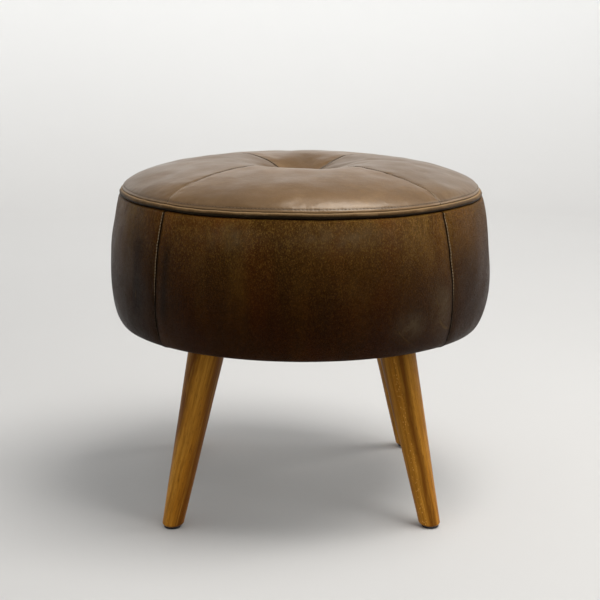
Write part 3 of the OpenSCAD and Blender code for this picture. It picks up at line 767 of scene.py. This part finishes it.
def marks(kind, theta, where):
    """Where the hide has real stains and painted shade, and where it has scuffs and a painted sheen, by angle
    around the seat and height.
    """
    skin = SKINS[kind]
    degrees = np.degrees(theta) % 360
    stain_and_shade = np.full((len(skin.z), len(theta)), PAINTED_PANEL_SHADE.get(f"{kind}_{where}", 0.0))
    wear_and_painted_light = np.zeros(stain_and_shade.shape)
    if kind == "top":
        # Painted shade on parts of the top.
        for angle, width, reach, strength in TOP_PAINTED_SHADE:
            here = np.outer(bell(skin.r - reach, 70 * MM), bell(degrees - angle, width))
            stain_and_shade = np.maximum(stain_and_shade, strength * here)
    else:
        for angle, width, low, high, strength in STAINS:
            window = ramp(skin.z - low, 25 * MM) * ramp(high - skin.z, 25 * MM)
            stain_and_shade = np.maximum(stain_and_shade, strength * np.outer(window, bell(degrees - angle, width)))
        for angle, width, height, reach in WEAR_AND_PAINTED_SHEEN:
            here = np.outer(bell(skin.z - height, reach), bell(degrees - angle, width))
            wear_and_painted_light = np.maximum(wear_and_painted_light, here)
    return stain_and_shade, wear_and_painted_light


def rim_lift(kind, theta):
    """The rim's wave, which fades out away from the rim."""
    beyond = np.maximum(np.abs(SKINS[kind].along - EDGES[kind]) - 8 * MM, 0)
    return np.outer(bell(beyond, 30 * MM), rim_wave(theta))


def cover_panel(kind, where, middle):
    """One leather panel with its true thickness, from its outline, its soft shape and its seams."""
    skin = SKINS[kind]
    stitched = where in ("left", "right")
    theta = panel_angles(middle)
    soft = soft_shape(kind, theta)
    relief, crease_shade, edge = seam_detail(kind, theta, stitched)
    stain_and_shade, wear_and_painted_light = marks(kind, theta, where)
    lift = rim_lift(kind, theta)
    outer = skin.points(theta, out=soft + relief, lift=lift)
    inner = skin.points(theta, out=soft - LEATHER, lift=lift)
    if kind == "side":
        outer, inner = drifted(outer), drifted(inner)
    rows, columns = outer.shape[:2]
    count = rows * columns
    front = grid_faces(rows, columns, flip=True)
    back = grid_faces(rows, columns, start=count)
    border = np.concatenate([np.arange(columns), np.arange(1, rows) * columns + columns - 1,
                             (rows - 1) * columns + np.arange(columns - 2, -1, -1),
                             np.arange(rows - 2, 0, -1) * columns])
    after = np.roll(border, -1)
    rimmed = np.stack([border, after, after + count, border + count], -1)
    faces = np.concatenate([front, back, rimmed])
    made = piece(f"{kind}_cover_{where}", np.concatenate([outer.reshape(-1, 3), inner.reshape(-1, 3)]),
                 faces.tolist(), LEATHERS[kind], replaces=[f"{kind}_panel_{where}"],
                 attributes={key: np.concatenate([values.ravel(), 0 * values.ravel()]) for key, values in
                             (("crease_shade", crease_shade), ("edge", edge), ("stain_and_shade", stain_and_shade), ("wear_and_painted_light", wear_and_painted_light))})
    if kind == "top":
        row = np.argmin(np.abs(EDGES["top"] - skin.along - RIM_STITCH_IN))
        STITCH_PATHS["rim"].append(outer[row])
    if stitched:
        shown = STITCH_ROWS[kind]
        turn = STITCH_IN / skin.r[shown]
        for angles in (theta[0] + turn, theta[-1] - turn):
            line = [read_path(angle, theta, row) for angle, row in zip(angles, outer[shown])]
            STITCH_PATHS[kind].append(np.array(line))
    return made


def make_cover():
    for kind, skin in SKINS.items():
        for where, middle in PANELS.items():
            made = cover_panel(kind, where, middle)


# ---- Stitches ----


def stitches(name, paths, pitch, thread_r, lift, looks):
    """Rows of thread: each stitch rises out of one needle hole and dips into the next."""
    verts, faces = [], []
    sides, rings = 6, 7
    u = np.linspace(0, 1, rings)
    rise = lift * np.sqrt(np.maximum(1 - (2 * u - 1) ** 4, 0)) - thread_r * (np.abs(2 * u - 1) > 0.9)
    taper = thread_r * np.clip(1.25 - np.abs(2 * u - 1) ** 6, 0.3, 1)
    turn = np.arange(sides) * 2 * math.pi / sides
    for path, out in paths:
        along = distances(path)
        for start in np.arange(0.4 * pitch, along[-1] - pitch, pitch):
            at = start + u * pitch * 0.74
            line = read_path(at, along, path)
            normal = unit(read_path(at, along, out))
            across = np.cross(unit(np.gradient(line, axis=0)), normal)
            centre = line + normal * rise[:, None]
            spokes = np.cos(turn)[:, None] * normal[:, None] + np.sin(turn)[:, None] * across[:, None]
            ring = centre[:, None] + spokes * taper[:, None, None]
            faces.extend(capped_faces(rings, sides, len(verts)))
            verts.extend(ring.reshape(-1, 3))
    return piece(name, np.array(verts), faces, looks)


def outward(path, tilt):
    """Surface directions along a path: away from the axis, and tilted upwards by the given angles."""
    flat = unit(path * np.array([1, 1, 0]))
    return flat * np.cos(tilt)[:, None] + np.array([0, 0, 1]) * np.sin(tilt)[:, None]


def make_stitches():
    """The rim's row, and the rows beside the seams of the left and right panels."""
    tilts = {kind: np.arctan2(skin.normal_z, skin.normal_r) for kind, skin in SKINS.items()}
    rim_tilt = np.full(len(STITCH_PATHS["rim"][0]), tilts["top"][RIM_FACING_ROW])
    tilts = {kind: tilts[kind][shown] for kind, shown in STITCH_ROWS.items()} | {"rim": rim_tilt}
    lines = {kind: [(path, outward(path, tilts[kind])) for path in paths]
             for kind, paths in STITCH_PATHS.items()}
    stitches("rim_stitches", lines["rim"], 4.7 * MM, 0.42 * MM, 0.22 * MM, BROWN_THREAD)
    stitches("top_seam_stitches", lines["top"], 4.0 * MM, 0.28 * MM, 0.12 * MM, BROWN_THREAD)
    sunk = [(path - way * 0.62 * MM * ramp(350 * MM - path[:, 2:], 45 * MM), way)
            for path, way in lines["side"]]
    stitches("side_seam_stitches", sunk, 4.0 * MM, 0.46 * MM, 0.2 * MM, THREAD)


# ---- Piping and button ----


def make_piping():
    """The leather strip around its cord, with small cross puckers, and the twisted cord inside it."""
    count = 900
    theta = np.arange(count) * 2 * math.pi / count
    strip = SEAM_HALF - 0.12 * MM
    turn = math.degrees(math.asin(strip / PIPING_R))
    path = outline(arc(PIPE_CENTRE, PIPING_R, PIPING_R, 180 - turn, -180 + turn, 26),
                   [(ALLOWANCE_R, RIM_Z - strip), (ALLOWANCE_R, RIM_Z + strip)])
    bore_r, core_r = 2.55 * MM, 2.3 * MM
    bore = arc(PIPE_CENTRE, bore_r, bore_r, 0, 342, 20)

    def waved(skin, angles):
        flat = skin.points(angles)
        round_part = (skin.r > PIPING_RING - 0.9 * PIPING_R)[:, None]
        swell = ripple(flat, 26 * MM, 31) * 0.14 * MM + ripple(flat, 5 * MM, 32) * 0.07 * MM
        return skin.points(angles, out=-np.where(round_part, swell, 0), lift=rim_wave(angles))

    outer_verts, outer_faces = revolve(path, count, waved)
    bore_verts, bore_faces = revolve(bore, count, lambda s, a: s.points(a, lift=rim_wave(a)), flip=True)
    faces = outer_faces + [[i + len(outer_verts) for i in face] for face in bore_faces]
    verts = np.concatenate([outer_verts, bore_verts])
    section = np.degrees(np.arctan2(path[:, 1] - RIM_Z, path[:, 0] - PIPING_RING))
    bare = np.zeros(len(bore_verts))
    # Painted shadow: the piping is dark below, and further up its face at the front.
    dark_from = 8 + 20 * bell(np.degrees(theta) - 262, 34)
    crease_shade = 0.97 * ramp(dark_from - section[:, None], 22)
    # Painted highlight along the piping's upper face.
    made = piece("piping", verts, faces, PIPING_LEATHER, replaces=["piping_cover"],
                 attributes={"edge": np.append(np.repeat(0.95 * bell(section - 72, 22), count), bare),
                             "crease_shade": np.append(crease_shade.ravel(), bare)})
    core = arc(PIPE_CENTRE, core_r, core_r, 0, 337.5, 16)

    def twisted(skin, angles):
        section = np.arctan2(skin.z - RIM_Z, skin.r - PIPING_RING)[:, None]
        strands = np.abs(np.sin(1.5 * (section - 75 * angles[None, :])))
        return skin.points(angles, out=(strands - 0.5) * 0.3 * MM, lift=rim_wave(angles))

    verts, faces = revolve(core, count, twisted, flip=True)
    piece("piping_filler", verts, faces, CORD_CORE, replaces=["piping_cord"])


def make_button():
    """The covered button, gathered under its edge."""
    base = BUTTON_Z + 0.1 * MM
    shell = BUTTON_R - 1.2 * MM
    hollow = arc((0, base + 1.6 * MM), shell, 3.5 * MM, 90, 0, 12)
    outer = outline([(shell, base), (BUTTON_R - 0.5 * MM, base + 0.1 * MM), (BUTTON_R, base + 0.8 * MM)],
                    arc((0, base + 1.6 * MM), BUTTON_R, 4.8 * MM, 0, 90, 18))
    path = outline(outer, hollow)
    path[np.abs(path[:, 0]) < 1e-6, 0] = 0

    def gathered(skin, angles):
        edge = bell(skin.r - BUTTON_R, 2.2 * MM)[:, None]
        folds = np.abs(np.sin(8 * angles + 0.4 * np.sin(3 * angles)))[None, :]
        return skin.points(angles, out=(folds - 0.6) * edge * 0.35 * MM * (skin.z < base + 2 * MM)[:, None])

    verts, faces = revolve(path, 96, gathered, flip=True)
    piece("button_leather_cap", verts, faces, BUTTON_LEATHER,
          replaces=["button_cover"])


# ---- Stuffing ----


def inset(path, distance):
    """An outline moved inwards."""
    skin = Skin(path)
    return np.column_stack([skin.r - distance * skin.normal_r, skin.z - distance * skin.normal_z])


def stuffing(name, path, node, looks, seed, follow=None):
    """A turned soft pad with a slightly lumpy face. The first points of its outline may follow the cover."""
    def lumpy(skin, angles):
        out = -np.abs(ripple(skin.points(angles), 30 * MM, seed)) * 0.3 * MM
        if follow:
            kind, rows = follow
            out[:len(rows)] += soft_shape(kind, angles)[rows]
        made = skin.points(angles, out=out)
        return drifted(made) if follow and follow[0] == "side" else made

    verts, faces = revolve(path, 120, lumpy)
    made = piece(name, verts, faces, looks, sharp=50, replaces=[node])


def make_stuffing():
    crown_rows = np.arange(3, TOP_EDGE_ROW + 1, 3)
    barrel_rows = np.arange(26, 95, 3)
    crown = np.column_stack([TOP.r, TOP.z])[crown_rows]
    barrel = np.column_stack([SIDE.r, SIDE.z])[barrel_rows]
    rim_gap = PIPING_RING - PIPING_R - 3 * MM
    outer = inset(crown, LEATHER + 2 * MM)
    crown_rows = crown_rows[outer[:, 0] < rim_gap]
    outer = outer[outer[:, 0] < rim_gap]
    inner = inset(crown, LEATHER + BATTING)
    inner = inner[inner[:, 0] < FOAM_R]
    edge_z = RIM_Z + SEAM_HALF + LEATHER + MM
    stuffing("top_batting_wrap", outline(outer, [(rim_gap, edge_z), (FOAM_R, edge_z)], inner[::-1]),
             "top_batting", WADDING, 41, follow=("top", crown_rows))
    foam = inset(crown, LEATHER + BATTING + MM)
    foam = foam[foam[:, 0] < FOAM_R - 0.5 * MM]
    edge = FOAM_R - 0.3 * MM
    well = WELL_R + 0.4 * MM
    floor = DECK_TOP + 0.2 * MM
    pad = outline([(well, foam[0, 1])], foam, [(edge, foam[-1, 1] - 4 * MM), (edge, floor), (well, floor)])
    stuffing("top_foam_pad", pad, "top_foam", FOAM, 42)
    wrap = outline(inset(barrel, LEATHER + 2 * MM), inset(barrel, LEATHER + BATTING)[::-1])
    stuffing("side_batting_wrap", wrap, "side_batting", WADDING, 43,
             follow=("side", barrel_rows))
    back = FOAM_R + 0.5 * MM
    pad = outline(inset(barrel, LEATHER + BATTING + MM), [(back, BASE_Z + MM), (back, RIM_Z - 9 * MM)])
    stuffing("side_foam_pad", pad, "side_foam", FOAM, 44)


# ---- Underside ----


def with_bolt_holes(verts, faces, rings, count):
    """Opens the two-faced cloth around the hanger bolts and joins its two faces around each hole."""
    gap = 9 * MM
    ring = FOOT_RING - BASE_Z * math.tan(SPLAY)
    bolts = [polar(ring, math.radians(angle))[:2] for angle in CORNERS.values()]
    middles = np.array([verts[face].mean(0)[:2] for face in faces])
    cut = np.min([np.linalg.norm(middles - bolt, axis=1) for bolt in bolts], axis=0) < gap
    edges = {(a, b) for face, lost in zip(faces, cut) if lost for a, b in zip(face, face[1:] + face[:1])}

    def across(vertex):
        """The vertex at the same place on the cloth's lower face."""
        row, column = divmod(vertex - 1, count)
        return 1 + (2 * rings - 3 - row) * count + column

    walls = [[a, b, across(b), across(a)] for a, b in sorted(edges)
             if (b, a) not in edges and max(a, b) <= (rings - 1) * count]
    kept = [face for face, lost in zip(faces, cut) if not lost] + walls
    used = sorted({vertex for face in kept for vertex in face})
    number = {vertex: k for k, vertex in enumerate(used)}
    return verts[used], [[number[vertex] for vertex in face] for face in kept]


def make_dust_cover():
    """A cloth disc stapled over the underside, a little slack between its staples and the plates."""
    thick = 0.7 * MM
    slack_r = 203 * MM
    plate_reach = 43 * MM
    radius = BOARD_R - 6 * MM
    step = TURN_IN_Z - BASE_Z - 0.8 * MM
    rings = np.concatenate([np.linspace(0, 195 * MM, 34), np.linspace(198 * MM, radius, 12)])
    count = 180
    upper = np.column_stack([rings, np.full(len(rings), BASE_Z - 0.1 * MM)])
    upper[:, 1] += step * ramp(rings - slack_r, 4 * MM)
    path = np.concatenate([upper, (upper - [0, thick])[::-1]])

    def slack(skin, angles):
        flat = skin.points(angles) * [1, 1, 0]
        free = ramp(slack_r - skin.r, 30 * MM)[:, None]
        for angle in CORNERS.values():
            centre = polar(PLATE_RING, math.radians(angle))
            free = free * ramp(np.linalg.norm(flat - centre, axis=-1) - plate_reach, 25 * MM)
        sag = np.abs(ripple(flat, 90 * MM, 51)) * 0.9 + np.abs(ripple(flat, 28 * MM, 52)) * 0.3
        return skin.points(angles, lift=-sag * free * MM)

    verts, faces = with_bolt_holes(*revolve(path, count, slack), len(rings), count)
    made = piece("dust_cloth_cover", verts, faces, DUST_CLOTH, replaces=["dust_cover"])


def make_plate_screws():
    """Countersunk wood screws with a cross recess, heads down in the plates."""
    verts, faces = [], []
    head = 4.1 * MM
    shank = 2.1 * MM
    count = 32
    theta = np.arange(count) * 2 * math.pi / count
    face_r = np.array([0.2, 0.5, 1.0, 1.5, 2.0, 2.4, 2.8, 3.4, 3.9, 4.05, 4.1]) * MM
    arms = np.minimum(np.abs(np.sin(theta)), np.abs(np.cos(theta)))
    depth = np.clip(1 - arms[None, :] * face_r[:, None] / (0.55 * MM), 0, 1) ** 0.4
    depth *= ramp(2.6 * MM - face_r[:, None], 0.9 * MM) * 1.3 * MM
    thread = [(shank * (0.8 + 0.2 * abs(math.sin(z / MM * math.pi / 1.4))), z)
              for z in np.arange(3.0, 11.5, 0.35) * MM]
    below = [(head, 0.15 * MM), (head, 0.3 * MM), (shank, 2.2 * MM), *thread, (0.3 * MM, 14 * MM)]
    rings = [polar(r, theta, z) for r, z in below]
    body = np.concatenate([polar(face_r[:, None], theta, depth), rings])
    for angle in CORNERS.values():
        a = math.radians(angle)
        for sx, sy in ((-1, -1), (-1, 1), (1, -1), (1, 1)):
            hole = np.array([PLATE_RING + sx * PLATE_HOLE, sy * PLATE_HOLE, PLATE_Z])
            faces.extend(capped_faces(len(body), count, len(verts)))
            verts.extend((spun(body, 0.7 * sx + 0.4 * sy + a) + spun(hole, a)).reshape(-1, 3))
    piece("plate_screw_set", np.array(verts), faces, YELLOW_ZINC, sharp=35,
          replaces=["plate_screws"])


# ---- Legs ----


def rounded(path, cut):
    """Cuts every inner corner of a polyline with a small curve of up to cut."""
    path = np.array(path, float)
    made = [path[0]]
    for before, corner, after in zip(path, path[1:], path[2:]):
        a, b = before - corner, after - corner
        reach = min(cut, 0.45 * np.linalg.norm(a), 0.45 * np.linalg.norm(b))
        start = corner + unit(a) * reach
        end = corner + unit(b) * reach
        for t in np.linspace(0, 1, 4):
            made.append((1 - t) ** 2 * start + 2 * t * (1 - t) * corner + t * t * end)
    return np.array(made + [path[-1]])


def leg_radius(z):
    """Radius of a leg at a distance z up its axis."""
    return LEG_FOOT_R + (LEG_TOP_R - LEG_FOOT_R) * z / LEG_LENGTH


def make_leg(corner, angle):
    """A turned, tapered leg with a drilled top, cut level at its chamfered foot. Local Z runs up its axis."""
    count = 72
    phi = np.arange(count) * 2 * math.pi / count
    bore = 3.8 * MM
    bore_end = LEG_LENGTH - 33 * MM
    top = [(bore, bore_end), (bore, LEG_LENGTH), (LEG_TOP_R - 1.5 * MM, LEG_LENGTH),
           (LEG_TOP_R - 0.07 * MM, LEG_LENGTH - 1.5 * MM)]
    rings = [polar(r, phi, z) for r, z in rounded(top, 0.8 * MM)]
    for z in np.linspace(LEG_LENGTH - 3 * MM, 22 * MM, 44):
        uneven = 0.10 * MM * np.cos(2 * phi + z * 31) + 0.05 * MM * np.cos(3 * phi - z * 90)
        rings.append(polar(leg_radius(z) + uneven, phi, z))
    sin, cos = math.sin(SPLAY), math.cos(SPLAY)
    chamfer = 2.5 * MM
    centre_x = FOOT_RING - GLIDE_T * math.tan(SPLAY)

    def to_axis(x, y, z):
        """From the leg's upright plane to its own axis frame."""
        x = x - FOOT_RING
        return np.stack(np.broadcast_arrays(x * cos + z * sin, y, -x * sin + z * cos), -1)

    def level(height, inset_by):
        """A ring on the leg's surface at one height above the floor, drawn in towards its centre."""
        r = np.full(count, LEG_FOOT_R)
        for _ in range(6):
            z = (height - r * np.cos(phi) * sin) / cos
            r = leg_radius(z)
        x = FOOT_RING + r * np.cos(phi) * cos - z * sin
        y = r * np.sin(phi)
        away = np.hypot(x - centre_x, y)
        shrink = (away - inset_by) / away
        return to_axis(centre_x + (x - centre_x) * shrink, y * shrink, height)

    foot = [(GLIDE_T + 14 * MM, 0.0), (GLIDE_T + 8 * MM, 0.0), (GLIDE_T + chamfer + 0.8 * MM, 0.0),
            (GLIDE_T + chamfer + 0.1 * MM, 0.12 * MM), (GLIDE_T + chamfer - 0.6 * MM, 0.55 * MM),
            (GLIDE_T + 0.9 * MM, chamfer - 0.9 * MM), (GLIDE_T + 0.25 * MM, chamfer - 0.25 * MM),
            (GLIDE_T, chamfer + 0.4 * MM)]
    rings.extend(level(height, by) for height, by in foot)
    nail_end = 19 * MM
    for r, height in ((6 * MM, GLIDE_T), (NAIL_R, GLIDE_T), (NAIL_R, nail_end)):
        rings.append(to_axis(GLIDE_RING + r * np.cos(phi), r * np.sin(phi), height))
    body = np.array(rings)
    verts = np.concatenate([body.reshape(-1, 3), [(0, 0, bore_end), to_axis(GLIDE_RING, 0, nail_end)]])
    faces = grid_faces(len(body), count, wrap=True, flip=True).tolist()
    low, high = len(verts) - 2, len(verts) - 1
    base = (len(body) - 1) * count
    for j in range(count):
        k = (j + 1) % count
        faces.append([j, k, low])
        faces.append([base + k, base + j, high])
    stand = np.array(Matrix.Rotation(math.radians(angle), 4, "Z") @ Matrix.Translation((FOOT_RING, 0, 0))
                     @ Matrix.Rotation(-SPLAY, 4, "Y"))
    placed = verts @ stand[:3, :3].T + stand[:3, 3]
    piece(f"turned_leg_{corner}", placed, faces, OAKS[corner], sharp=55, body=f"leg_{corner}",
          replaces=[f"leg_{corner}"], attributes={"grain": verts})


def make_glide(corner, angle):
    """A moulded plastic disc with rounded edges and a recess for its nail."""
    recess, top = 1.5 * MM, GLIDE_T - 0.05 * MM
    path = rounded([(NAIL_R, recess), (3 * MM, recess), (3 * MM, 0), (GLIDE_R - 0.8 * MM, 0),
                    (GLIDE_R, 0.8 * MM), (GLIDE_R, top), (NAIL_R, top)], 0.35 * MM)
    verts, faces = revolve(path, 64, flip=True)
    verts = verts + polar(GLIDE_RING, math.radians(angle))
    piece(f"glide_pad_{corner}", verts, faces, PLASTIC, sharp=40,
          body=f"leg_{corner}", replaces=[f"glide_{corner}"])


# ---- Carried-over CAD nodes ----


def dress_nodes():
    """Gives each CAD node that still shows its material."""
    looks_of = {"base_board": PLYWOOD, "deck_board": PLYWOOD, "post_": PINE, "wall_hoop": HARDBOARD,
                "frame_screws": YELLOW_ZINC, "tufting_twine": TWINE, "twine_toggle": BEECH,
                "leg_plate_": PLATE_STEEL, "hanger_bolt_": ZINC, "glide_nail_": ZINC, "hoop_nails": ZINC,
                "button_shell": ZINC, "button_eye": ZINC, "cover_staples": ZINC, "dust_cover_staples": ZINC}
    for name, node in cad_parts.items():
        for start, looks in looks_of.items():
            if name.startswith(start):
                for holder in node.material_slots:
                    holder.material = looks


# ---- Stage, light and camera ----


def make_camera():
    data = bpy.data.cameras.new("camera")
    data.sensor_width = 36
    data.lens = 83.94
    data.clip_end = 30
    camera = bpy.data.objects.new("camera", data)
    bpy.context.scene.collection.objects.link(camera)
    heading, pitch, roll = math.radians(1.359), math.radians(12.33), math.radians(0.4)
    camera.matrix_world = (Matrix.Translation((-0.0452, -1.9039, 0.684)) @ Matrix.Rotation(-heading, 4, "Z")
                           @ Matrix.Rotation(math.pi / 2 - pitch, 4, "X") @ Matrix.Rotation(roll, 4, "Z"))
    bpy.context.scene.camera = camera


def area_light(name, place, target, size, watts, colour=(1, 1, 1)):
    data = bpy.data.lights.new(name, "AREA")
    data.shape = "RECTANGLE"
    data.size, data.size_y = size
    data.energy = watts
    data.color = colour
    light = bpy.data.objects.new(name, data)
    bpy.context.scene.collection.objects.link(light)
    way = Matrix.Translation(place).translation - Matrix.Translation(target).translation
    light.matrix_world = Matrix.Translation(place) @ way.to_track_quat("Z", "Y").to_matrix().to_4x4()


def make_stage():
    """A plain pale floor that bends up into a plain, slightly paler wall all round."""
    wall, bend, height = 3.4, 0.8, 2.4
    path = outline([(0, 0), (0.5, 0), (wall - bend, 0)], arc((wall - bend, bend), bend, bend, -90, 0, 24)[1:],
                   [(wall, height)])
    verts, faces = revolve(path, 128, closed=False)
    looks = Looks("plain_stage", Specular_IOR_Level=0.2)
    tone = looks.math("ADD", looks.span(looks.axis("Z"), 0.0, 0.7, 0.0, 0.9),
                      looks.times(looks.noise(1.5, 3.0, 0.5), 0.1))
    looks.colour = looks.mix(tone, (0.62, 0.61, 0.595), (0.87, 0.87, 0.86))
    floor = piece("studio", verts, faces, looks.finished(0.7), body=None)


def make_light():
    """One large light overhead, fill from the sides, a wash on the wall and a pale room."""
    area_light("overhead", (0.6, -0.3, 2.2), (0, 0, 0.3), (1.2, 1.2), 38, (1.0, 0.985, 0.96))
    area_light("front", (2.2, -1.7, 1.9), (0, 0, 0.35), (1.1, 0.9), 5, (1.0, 0.99, 0.97))
    area_light("wall_wash", (0.0, 1.9, 2.4), (0, 3.4, 1.1), (3.0, 0.6), 31)
    area_light("right", (2.4, 0.5, 1.3), (0, 0, 0.35), (1.4, 1.6), 18, (1.0, 0.99, 0.97))
    area_light("left", (-2.4, 0.6, 1.2), (0, 0, 0.35), (1.2, 1.4), 0.8, (0.97, 0.98, 1.0))
    world = bpy.data.worlds.new("room")
    world.use_nodes = True
    world.node_tree.nodes["Background"].inputs["Color"].default_value = (0.95, 0.97, 1.0, 1)
    world.node_tree.nodes["Background"].inputs["Strength"].default_value = 0.42
    bpy.context.scene.world = world
    bpy.context.scene.view_settings.view_transform = "Standard"


make_camera()
make_cover()
make_stitches()
make_piping()
make_button()
make_stuffing()
make_dust_cover()
make_plate_screws()
for CORNER, ANGLE in CORNERS.items():
    make_leg(CORNER, ANGLE)
    make_glide(CORNER, ANGLE)
dress_nodes()
make_stage()
make_light()
